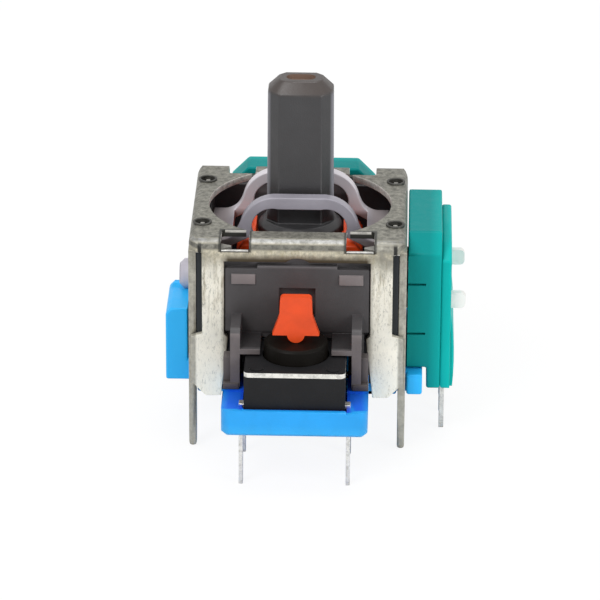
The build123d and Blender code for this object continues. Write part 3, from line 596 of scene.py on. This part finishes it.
def make_materials(finishes):
    """Every material of the stick, by the short name that the pieces use."""
    spot = finishes.spot
    MATERIALS.update({
        "steel": TinnedSteel(finishes).material,
        "edge": cut_edge_finish(finishes),
        # Dark rims of the ears' holes, also the painted shade on the holes' walls
        "rim": bright_metal("hole_rim_and_shade", finishes.hole_rim_and_shade, 0.4, 0.5),
        "gusset": bright_metal("dull_steel", finishes.gusset, 0.45, 0.5),
        "stick": stick_finish(finishes),
        "dimple": moulded("dimple_plastic", finishes.dimple, 0.42),
        "housing": housing_finish(finishes),
        "spot": moulded("spot_plastic", spot, 0.5, Specular_IOR_Level=0.3),
        # Painted light: lighter grey on the forks' front faces
        "rib": moulded("fork_front_light_plastic", shade(spot, 0.74), 0.5, Specular_IOR_Level=0.3),
        "foot": moulded("foot_plastic", shade(spot, 0.5), 0.5, Specular_IOR_Level=0.3),
        "blue": base_finish(finishes),
        "green": pot_finish(finishes),
        "orange": moulded("orange_plastic", finishes.orange, 0.36, Specular_IOR_Level=0.35),
        "lavender": arm_finish(finishes),
        "black": moulded("black_plastic", finishes.black, 0.42, Specular_IOR_Level=0.18),
        "plunger": moulded("plunger_plastic", finishes.plunger, 0.42, Specular_IOR_Level=0.08),
        "pin": bright_metal("pin_metal", finishes.pin),
        "board": moulded("element_board", finishes.board, 0.6),
        "brass": bright_metal("contact_metal", finishes.brass),
    })


# Meshes
MERGE_DISTANCE = 0.0005
FOLD_MERGE_DISTANCE = 0.02
FLAT_ANGLE = math.radians(0.4)
BEVEL_ANGLE = math.radians(35)
SHARP_ANGLE = math.radians(50)


def finish_piece(mesh, name, body, material_names):
    """Writes a bmesh in millimetres to a piece at the origin that rides on a body."""
    bmesh.ops.scale(mesh, verts=mesh.verts, vec=(MM, MM, MM))
    data = bpy.data.meshes.new(name)
    mesh.to_mesh(data)
    mesh.free()
    piece = bpy.data.objects.new(name, data)
    bpy.context.scene.collection.objects.link(piece)
    for material_name in material_names:
        data.materials.append(MATERIALS[material_name])
    piece.modifiers.new("Even shading", "WEIGHTED_NORMAL").keep_sharp = True
    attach(piece, body)
    return piece


def node_mesh(node, merge, reshape):
    """Merged copy of a CAD node in millimetres, with its flat faces joined."""
    mesh = bmesh.new()
    mesh.from_mesh(frame["nodes"][node].data)
    bmesh.ops.scale(mesh, verts=mesh.verts, vec=(1 / MM, 1 / MM, 1 / MM))
    if reshape:
        reshape(mesh)
    bmesh.ops.remove_doubles(mesh, verts=mesh.verts, dist=merge)
    bmesh.ops.dissolve_degenerate(mesh, edges=mesh.edges, dist=merge / 2)
    bmesh.ops.dissolve_limit(mesh, angle_limit=FLAT_ANGLE, verts=mesh.verts, edges=mesh.edges)
    return mesh


def bevel(mesh, edges, width, segments):
    """Rounds edges by a width in millimetres."""
    bmesh.ops.bevel(
        mesh, geom=edges, offset=width, offset_type="OFFSET", segments=segments, profile=0.5,
        affect="EDGES", material=-1, clamp_overlap=False,
    )


def is_sharper(edge, angle):
    """True for an edge between two faces that turns by more than an angle."""
    return len(edge.link_faces) == 2 and edge.calc_face_angle(0) > angle


def has_room(edge, width):
    """True where no edge that meets this one is too short for the rounding."""
    neighbours = [other for vertex in edge.verts for other in vertex.link_edges]
    return all(other.calc_length() > 2 * width for other in neighbours)


def round_edges(mesh, width, segments=3, keep=None):
    """Bevels the sharp edges that have room for it, and stays inside the mesh's own box."""
    width = width / MM
    low = [min(vertex.co[axis] for vertex in mesh.verts) for axis in range(3)]
    high = [max(vertex.co[axis] for vertex in mesh.verts) for axis in range(3)]
    sharp = [
        edge for edge in mesh.edges
        if is_sharper(edge, BEVEL_ANGLE) and has_room(edge, width) and (keep is None or keep(edge))
    ]
    bevel(mesh, sharp, width, segments)
    for vertex in mesh.verts:
        vertex.co = [min(max(vertex.co[axis], low[axis]), high[axis]) for axis in range(3)]
    for face in mesh.faces:
        face.smooth = True
    for edge in mesh.edges:
        edge.smooth = not is_sharper(edge, SHARP_ANGLE)


def dress(
    node, body, material_names, width, segments=3, paint=None, keep=None, merge=MERGE_DISTANCE,
    reshape=None, trim=None,
):
    """A CAD node's own shape with rounded edges and a finished surface."""
    mesh = node_mesh(node, merge, reshape)
    if paint:
        paint(mesh)
    if trim:
        trim(mesh)
    round_edges(mesh, width, segments, keep)
    piece = finish_piece(mesh, f"{node}_finished", body, material_names)
    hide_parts(node)


def ring(mesh, centre, inner, outer, low, high, steps=24):
    """Flat ring about an upright axis."""
    corners_round = ((inner, low), (outer, low), (outer, high), (inner, high))
    profile = [mesh.verts.new((centre[0] + radius, centre[1], z)) for radius, z in corners_round]
    edges = [mesh.edges.new(pair) for pair in zip(profile, profile[1:] + profile[:1])]
    bmesh.ops.spin(
        mesh, geom=profile + edges, cent=(*centre, 0), axis=(0, 0, 1), angle=2 * math.pi, steps=steps,
        use_merge=True,
    )


def wedge(mesh, points, low, high):
    """Flat plate with straight sides."""
    face = mesh.faces.new([mesh.verts.new((x, y, low)) for x, y in points])
    lifted = bmesh.ops.extrude_face_region(mesh, geom=[face])["geom"]
    moved = [item for item in lifted if isinstance(item, bmesh.types.BMVert)]
    bmesh.ops.translate(mesh, verts=moved, vec=(0, 0, high - low))


def block(mesh, x, y, z):
    """Straight block between two limits along each axis."""
    wedge(mesh, ((x[0], y[0]), (x[1], y[0]), (x[1], y[1]), (x[0], y[1])), *z)


def mirrored_blocks(name, blocks, material, width):
    """A piece of straight blocks, each on both sides of the middle."""
    mesh = bmesh.new()
    for x, y, z in blocks:
        block(mesh, x, y, z)
        block(mesh, (-x[1], -x[0]), y, z)
    bmesh.ops.recalc_face_normals(mesh, faces=mesh.faces)
    round_edges(mesh, width, 2)
    finish_piece(mesh, name, "root", [material])


def ear_hole_centres():
    """Centres of the four small holes in the top plate's ears."""
    return [(x, y) for x in (-EAR_HOLE_X, EAR_HOLE_X) for y in (-EAR_HOLE_Y, EAR_HOLE_Y)]


# Changes to single pieces
def paint_cut_edges(mesh):
    """Second material on the narrow faces where the sheet was cut, third, as painted shade, in the ears'
    small holes.
    """
    skin = 0.01
    for face in mesh.faces:
        girth = sum(edge.calc_length() for edge in face.edges)
        centre = face.calc_center_median()
        flat_to_axis = max(abs(part) for part in face.normal) > 0.9995
        in_opening = abs(face.normal.z) < 0.01 and Vector(centre.xy).length < OPENING_RADIUS + 0.15
        narrow = face.calc_area() / girth < 0.19 and face.calc_area() < 3
        outside = (
            face.normal.z > 0.5 or centre.z > PLATE_TOP - skin or centre.y < FRAME_FRONT + skin
            or abs(centre.x) > HALF - skin
        )
        in_front_or_top = centre.z > PLATE_TOP - 0.9 or centre.y < FRAME_FRONT + 0.55
        if narrow and (flat_to_axis or in_opening) and not outside and in_front_or_top:
            face.material_index = 1
        # Painted shade on the walls of the ears' holes
        to_hole = Vector((abs(centre.x) - EAR_HOLE_X, abs(centre.y) - EAR_HOLE_Y)).length
        if centre.z > PLATE_TOP - 0.5 and to_hole < EAR_HOLE_RADIUS + 0.02 and abs(face.normal.z) < 0.1:
            face.material_index = 2


def round_tips(mesh):
    """Rounds the tips of the frame's solder legs."""
    tips = [
        edge for edge in mesh.edges
        if all(vertex.co.z < TIP_LEVEL + SHEET for vertex in edge.verts)
        and abs(edge.verts[0].co.x - edge.verts[1].co.x) < 0.01
    ]
    lowest = min(vertex.co.z for vertex in mesh.verts)
    bevel(mesh, tips, bpy.context.scene.stick_edges.tips / MM, 2)
    for vertex in mesh.verts:
        vertex.co.z = max(vertex.co.z, lowest)


def away_from_tabs(across):
    """Test for edges that aren't on the slots round a potentiometer's two tabs; across is their axis."""
    def keep(edge):
        return not all(
            abs(abs(vertex.co[across]) - TAB_PLACE) < TAB_ROOM and abs(vertex.co.z - PIVOT) < TAB_HEADROOM
            for vertex in edge.verts
        )
    return keep


def lower_pocket_sides(mesh):
    """Brings the pocket's side walls down to its front wall, and the pin slots in them too."""
    for vertex in mesh.verts:
        if vertex.co.y < POCKET_SIDES_REAR - 0.01 and abs(vertex.co.z - PIN_SLOT_TOP) < 0.05:
            vertex.co.z = PIN_SLOT_LOWERED
        elif vertex.co.y < POCKET_SIDES_REAR + 0.1 and vertex.co.z > PIN_SLOT_TOP + 0.05:
            vertex.co.z = FRONT_WALL_TOP


def paint_dimple(mesh):
    """Second material in the dimple at the stick's end."""
    for face in mesh.faces:
        centre = face.calc_center_median()
        deep = STICK_TOP - DIMPLE_DEPTH - 0.05 < centre.z < STICK_TOP - 0.01
        in_reach = Vector(centre.xy).length < DIMPLE_HALF_LENGTH + 0.05
        if deep and in_reach and abs(centre.y) < DIMPLE_HALF_WIDTH + 0.015:
            face.material_index = 1


def paint_housing(mesh):
    """Second material on the raised spots, third, a lighter grey of painted light, on the forks' front faces.
    """
    for face in mesh.faces:
        centre = face.calc_center_median()
        at_spots = SPOT_BOTTOM - 0.06 < centre.z < SPOT_TOP + 0.05 and abs(centre.x) > SPOT_INNER - 0.15
        if at_spots and centre.y < FRAME_FRONT + 0.05:
            face.material_index = 1
        if centre.y < FORK_FRONT + 0.1 and face.normal.y < -0.5:
            face.material_index = 2


def paint_cover(mesh):
    """Second material on the switch cover's outer rim."""
    for face in mesh.faces:
        centre = face.calc_center_median()
        if abs(face.normal.z) < 0.5 and Vector((centre.x, centre.y - SWITCH_Y)).length > COVER_TOP_REACH:
            face.material_index = 1


# Operators
class StickOperator:
    bl_options = {"REGISTER", "UNDO"}


class BuildFrame(StickOperator, Operator):
    """Folded steel frame with its cut edges"""
    bl_idname = "analog_stick.build_frame"
    bl_label = "Folded Frame"

    def execute(self, context):
        edges = context.scene.stick_edges
        dress(
            "frame_shell", "root", ["steel", "edge", "rim"], edges.steel, 2,
            paint=paint_cut_edges, merge=FOLD_MERGE_DISTANCE, trim=round_tips,
        )
        self.raise_rims(edges)
        self.add_hole_glints()
        self.add_gussets()
        self.add_sills(edges)
        return {"FINISHED"}

    def raise_rims(self, edges):
        """Raised rims round the ears' holes."""
        mesh = bmesh.new()
        for centre in ear_hole_centres():
            inner, outer = EAR_HOLE_RADIUS - 0.01, EAR_HOLE_RADIUS + 0.13
            ring(mesh, centre, inner, outer, PLATE_TOP - 0.06, PLATE_TOP + 0.10)
        bmesh.ops.recalc_face_normals(mesh, faces=mesh.faces)
        round_edges(mesh, edges.fine, 2)
        finish_piece(mesh, "ear_hole_rims", "root", ["rim"])

    def add_hole_glints(self):
        """A bright wedge at the rear of each ear's hole, a painted glint."""
        near, near_half = 0.30, 0.13
        far, far_half = EAR_HOLE_RADIUS - 0.02, 0.10
        mesh = bmesh.new()
        for x, y in ear_hole_centres():
            outline = (
                (x - near_half, y + near), (x + near_half, y + near), (x + far_half, y + far),
                (x - far_half, y + far),
            )
            wedge(mesh, outline, PLATE_TOP - 0.30, PLATE_TOP - 0.17)
        bmesh.ops.recalc_face_normals(mesh, faces=mesh.faces)
        finish_piece(mesh, "ear_hole_glints", "root", ["edge"])

    def add_gussets(self):
        """Small gussets at the outer sides of the four windows."""
        wide, wide_half = WINDOW_OUTER + 0.03, 0.42
        narrow, narrow_half = WINDOW_OUTER - 0.6, 0.10
        mesh = bmesh.new()
        for side in (-1, 1):
            for y in (FRAME_FRONT + 0.95, HALF - 0.95):
                outline = (
                    (wide * side, y - wide_half), (wide * side, y + wide_half),
                    (narrow * side, y + narrow_half), (narrow * side, y - narrow_half),
                )
                wedge(mesh, outline, WINDOW_BOTTOM - 0.05, WINDOW_BOTTOM + 0.09)
        bmesh.ops.recalc_face_normals(mesh, faces=mesh.faces)
        finish_piece(mesh, "window_gussets", "root", ["gusset"])

    def add_sills(self, edges):
        """Sills with a bright edge in the two front windows."""
        across = (WINDOW_INNER + 0.01, WINDOW_OUTER - 0.01)
        sill = (across, (FRAME_FRONT + 0.005, FRAME_FRONT + 0.40), (WINDOW_BOTTOM - 0.07, SILL_TOP))
        mirrored_blocks("window_sills", [sill], "steel", edges.fine / 3)
        across = (WINDOW_INNER + 0.03, WINDOW_OUTER - 0.03)
        bright = (across, (FRAME_FRONT + 0.03, FRAME_FRONT + 0.25), (SILL_TOP + 0.005, SILL_TOP + 0.055))
        mirrored_blocks("window_sill_edges", [bright], "pin", edges.fine / 3)


class BuildStick(StickOperator, Operator):
    """Stick with its faceted shaft and round boss"""
    bl_idname = "analog_stick.build_stick"
    bl_label = "Stick"

    def execute(self, context):
        edges = context.scene.stick_edges
        dress("stick", "lever", ["stick", "dimple"], edges.moulded, 3, paint_dimple)
        return {"FINISHED"}


class BuildArms(StickOperator, Operator):
    """Upper arm, lower arm, spring and its seat"""
    bl_idname = "analog_stick.build_arms"
    bl_label = "Arms and Spring"

    def execute(self, context):
        edges = context.scene.stick_edges
        dress("upper_arm", "upper_gimbal", ["lavender"], edges.moulded)
        dress("lower_arm", "lower_gimbal", ["orange"], edges.moulded)
        dress("spring_seat", "seat", ["housing"], edges.moulded)
        dress("return_spring", "root", ["pin"], edges.fine, 1)
        return {"FINISHED"}


class BuildHousing(StickOperator, Operator):
    """Dark housing with its feet, dark strips of painted shadow in the gaps beside the front legs, and blue
    base
    """
    bl_idname = "analog_stick.build_housing"
    bl_label = "Housing and Base"

    def execute(self, context):
        edges = context.scene.stick_edges
        finishes = ["housing", "spot", "rib"]
        dress("housing", "root", finishes, edges.moulded / 2, 3, paint_housing)
        dress("base", "root", ["blue"], edges.soft, reshape=lower_pocket_sides)
        toe = (
            (FORK_INNER + 0.07, FORK_OUTER + 0.45), (FORK_FRONT - 0.08, FORK_FRONT + 0.5),
            (FORK_BOTTOM - 0.08, FORK_BOTTOM + 0.3),
        )
        web = (
            (FORK_OUTER - 0.02, FORK_OUTER + 0.43), (FORK_FRONT + 0.3, FORK_FRONT + 1.2),
            (FORK_BOTTOM + 0.1, FORK_BOTTOM + 1.9),
        )
        mirrored_blocks("fork_feet", [toe, web], "foot", edges.fine)
        # Thin dark strips that paint the shadow in the gaps beside the front legs
        rib = (
            (HOUSING_HALF - 0.02, HOUSING_HALF + 0.06), (FRAME_FRONT + 0.75, FRAME_FRONT + 0.87),
            (FORK_BOTTOM - 0.1, PLATE_TOP - 1.1),
        )
        mirrored_blocks("gap_shadow_strips", [rib], "housing", edges.fine / 3)
        return {"FINISHED"}


class BuildSwitch(StickOperator, Operator):
    """Push switch under the lower arm's flag"""
    bl_idname = "analog_stick.build_switch"
    bl_label = "Push Switch"

    def execute(self, context):
        edges = context.scene.stick_edges
        dress("switch_case", "root", ["black"], edges.moulded / 2)
        dress("switch_cover", "root", ["black", "edge"], edges.fine, 2, paint_cover)
        dress("switch_plunger", "plunger", ["plunger"], edges.fine)
        dress("switch_dome", "root", ["pin"], edges.fine / 2, 1)
        for side in ("right", "left"):
            dress(f"switch_terminal_{side}", "root", ["pin"], edges.fine)
        return {"FINISHED"}


class BuildPotentiometers(StickOperator, Operator):
    """Side and rear potentiometers"""
    bl_idname = "analog_stick.build_potentiometers"
    bl_label = "Potentiometers"

    def execute(self, context):
        edges = context.scene.stick_edges
        turning = {"side": "upper_gimbal", "rear": "rear_rotor"}
        for side, rotor_body in turning.items():
            keep = away_from_tabs(1 if side == "side" else 0)
            dress(f"{side}_pot_body", "root", ["green"], edges.soft, keep=keep)
            dress(f"{side}_pot_cover", "root", ["green"], edges.soft, keep=keep)
            dress(f"{side}_pot_board", "root", ["board"], edges.fine)
            dress(f"{side}_pot_rotor", rotor_body, ["housing"], edges.fine)
            dress(f"{side}_pot_wiper", rotor_body, ["brass"], edges.fine / 3, 1)
            for number in (1, 2, 3):
                dress(f"{side}_pot_terminal_{number}", "root", ["pin"], edges.fine)
        return {"FINISHED"}


# Stage: place, size and power of each lamp, in metres and watts
LAMPS = {
    "Key lamp": ((-0.16, -0.24, 0.30), 0.20, 0.80),
    "Fill lamp": ((0.26, -0.20, 0.12), 0.22, 0.46),
    "Top lamp": ((0.02, 0.05, 0.36), 0.24, 0.50),
}
FLOOR_COLOUR = (0.86, 0.86, 0.86, 1)
SENSOR_WIDTH = 36
NEAREST_SEEN = 0.01
FARTHEST_SEEN = 50


def camera_axes(azimuth, elevation, roll):
    """Right, up and back directions of the camera, from angles in degrees."""
    turn, height, lean = (math.radians(angle) for angle in (azimuth, elevation, roll))
    back = Vector((
        math.sin(turn) * math.cos(height), -math.cos(turn) * math.cos(height), math.sin(height),
    ))
    level = Vector((math.cos(turn), math.sin(turn), 0))
    up = back.cross(level)
    right = level * math.cos(lean) + up * math.sin(lean)
    return right, up * math.cos(lean) - level * math.sin(lean), back


class BuildStage(StickOperator, Operator):
    """Camera, floor, lamps and white world"""
    bl_idname = "analog_stick.build_stage"
    bl_label = "Stage"

    def execute(self, context):
        scene = context.scene
        stage = scene.stick_stage
        self.set_camera(scene, stage)
        self.lay_floor(scene, stage)
        for name, (place, size, power) in LAMPS.items():
            self.hang_lamp(scene, name, Vector(place), Vector((0, 0, stage.lamp_target)), size, power)
        self.light_world(scene, stage)
        scene.view_settings.view_transform = "Standard"
        return {"FINISHED"}

    def set_camera(self, scene, stage):
        """Camera at the photograph's angle."""
        right, up, back = camera_axes(stage.azimuth, stage.elevation, stage.roll)
        data = bpy.data.cameras.new("Camera")
        data.lens = stage.lens
        data.sensor_width = SENSOR_WIDTH
        data.clip_start = NEAREST_SEEN
        data.clip_end = FARTHEST_SEEN
        camera = bpy.data.objects.new("Camera", data)
        scene.collection.objects.link(camera)
        turn = Matrix((right, up, back)).transposed().to_4x4()
        target = Vector((stage.shift, 0, stage.target))
        camera.matrix_world = Matrix.Translation(target + back * stage.distance) @ turn
        scene.camera = camera

    def lay_floor(self, scene, stage):
        """Round floor that the camera sees as white, with the stick's shadow."""
        mesh = bmesh.new()
        bmesh.ops.create_circle(mesh, cap_ends=True, segments=64, radius=stage.floor_radius)
        data = bpy.data.meshes.new("floor")
        mesh.to_mesh(data)
        mesh.free()
        floor = bpy.data.objects.new("floor", data)
        floor.location.z = stage.floor
        scene.collection.objects.link(floor)
        finish = Finish("pale_floor")
        finish.set(Base_Color=FLOOR_COLOUR, Roughness=0.9, Specular_IOR_Level=0.0)
        seen = finish.node("ShaderNodeLightPath", {}).outputs["Is Camera Ray"]
        glow = finish.node("ShaderNodeEmission", {"Strength": stage.floor_glow}).outputs[0]
        share = finish.math("MULTIPLY", seen, stage.floor_blend)
        blend = finish.node("ShaderNodeMixShader", {0: share, 1: finish.shader.outputs[0], 2: glow})
        finish.tree.links.new(blend.outputs[0], finish.tree.nodes["Material Output"].inputs["Surface"])
        data.materials.append(finish.material)

    def hang_lamp(self, scene, name, place, target, size, power):
        """Round soft lamp that points at the target."""
        light = bpy.data.lights.new(name, "AREA")
        light.shape = "DISK"
        light.size = size
        light.energy = power
        lamp = bpy.data.objects.new(name, light)
        lamp.location = place
        lamp.rotation_euler = (target - place).to_track_quat("-Z", "Y").to_euler()
        scene.collection.objects.link(lamp)

    def light_world(self, scene, stage):
        """World that the camera sees as white, and that lights the stick less."""
        world = bpy.data.worlds.new("White studio")
        scene.world = world
        world.use_nodes = True
        tree = world.node_tree
        background = tree.nodes["Background"]
        background.inputs["Color"].default_value = (1, 1, 1, 1)
        path = tree.nodes.new("ShaderNodeLightPath")
        mirrored = tree.nodes.new("ShaderNodeMath")
        mirrored.operation = "MULTIPLY"
        mirrored.inputs[1].default_value = stage.world_mirror
        seen = tree.nodes.new("ShaderNodeMath")
        seen.operation = "MAXIMUM"
        strength = tree.nodes.new("ShaderNodeMapRange")
        strength.inputs["To Min"].default_value = stage.world_light
        strength.inputs["To Max"].default_value = 1.0
        tree.links.new(path.outputs["Is Glossy Ray"], mirrored.inputs[0])
        tree.links.new(path.outputs["Is Camera Ray"], seen.inputs[0])
        tree.links.new(mirrored.outputs[0], seen.inputs[1])
        tree.links.new(seen.outputs[0], strength.inputs["Value"])
        tree.links.new(strength.outputs["Result"], background.inputs["Strength"])


OPERATORS = (BuildFrame, BuildStick, BuildArms, BuildHousing, BuildSwitch, BuildPotentiometers, BuildStage)


class StickPanel(Panel):
    """Lists the steps that build the stick"""
    bl_label = "Analog Stick"
    bl_idname = "VIEW3D_PT_analog_stick"
    bl_space_type = "VIEW_3D"
    bl_region_type = "UI"
    bl_category = "Analog Stick"

    def draw(self, context):
        layout = self.layout
        for group in (context.scene.stick_edges, context.scene.stick_finishes, context.scene.stick_stage):
            box = layout.box()
            for name in group.__annotations__:
                box.prop(group, name)
        for operator in OPERATORS:
            layout.operator(operator.bl_idname)


GROUPS = {"stick_edges": EdgeSizes, "stick_finishes": Finishes, "stick_stage": StageSettings}


def register():
    for group in GROUPS.values():
        bpy.utils.register_class(group)
    for name, group in GROUPS.items():
        setattr(bpy.types.Scene, name, PointerProperty(type=group))
    for cls in (*OPERATORS, StickPanel):
        bpy.utils.register_class(cls)


def unregister():
    for cls in reversed((*OPERATORS, StickPanel)):
        bpy.utils.unregister_class(cls)
    for name, group in GROUPS.items():
        delattr(bpy.types.Scene, name)
        bpy.utils.unregister_class(group)


def main():
    register()
    make_materials(bpy.context.scene.stick_finishes)
    bpy.ops.analog_stick.build_frame()
    bpy.ops.analog_stick.build_stick()
    bpy.ops.analog_stick.build_arms()
    bpy.ops.analog_stick.build_housing()
    bpy.ops.analog_stick.build_switch()
    bpy.ops.analog_stick.build_potentiometers()
    bpy.ops.analog_stick.build_stage()


if __name__ == "__main__":
    main()
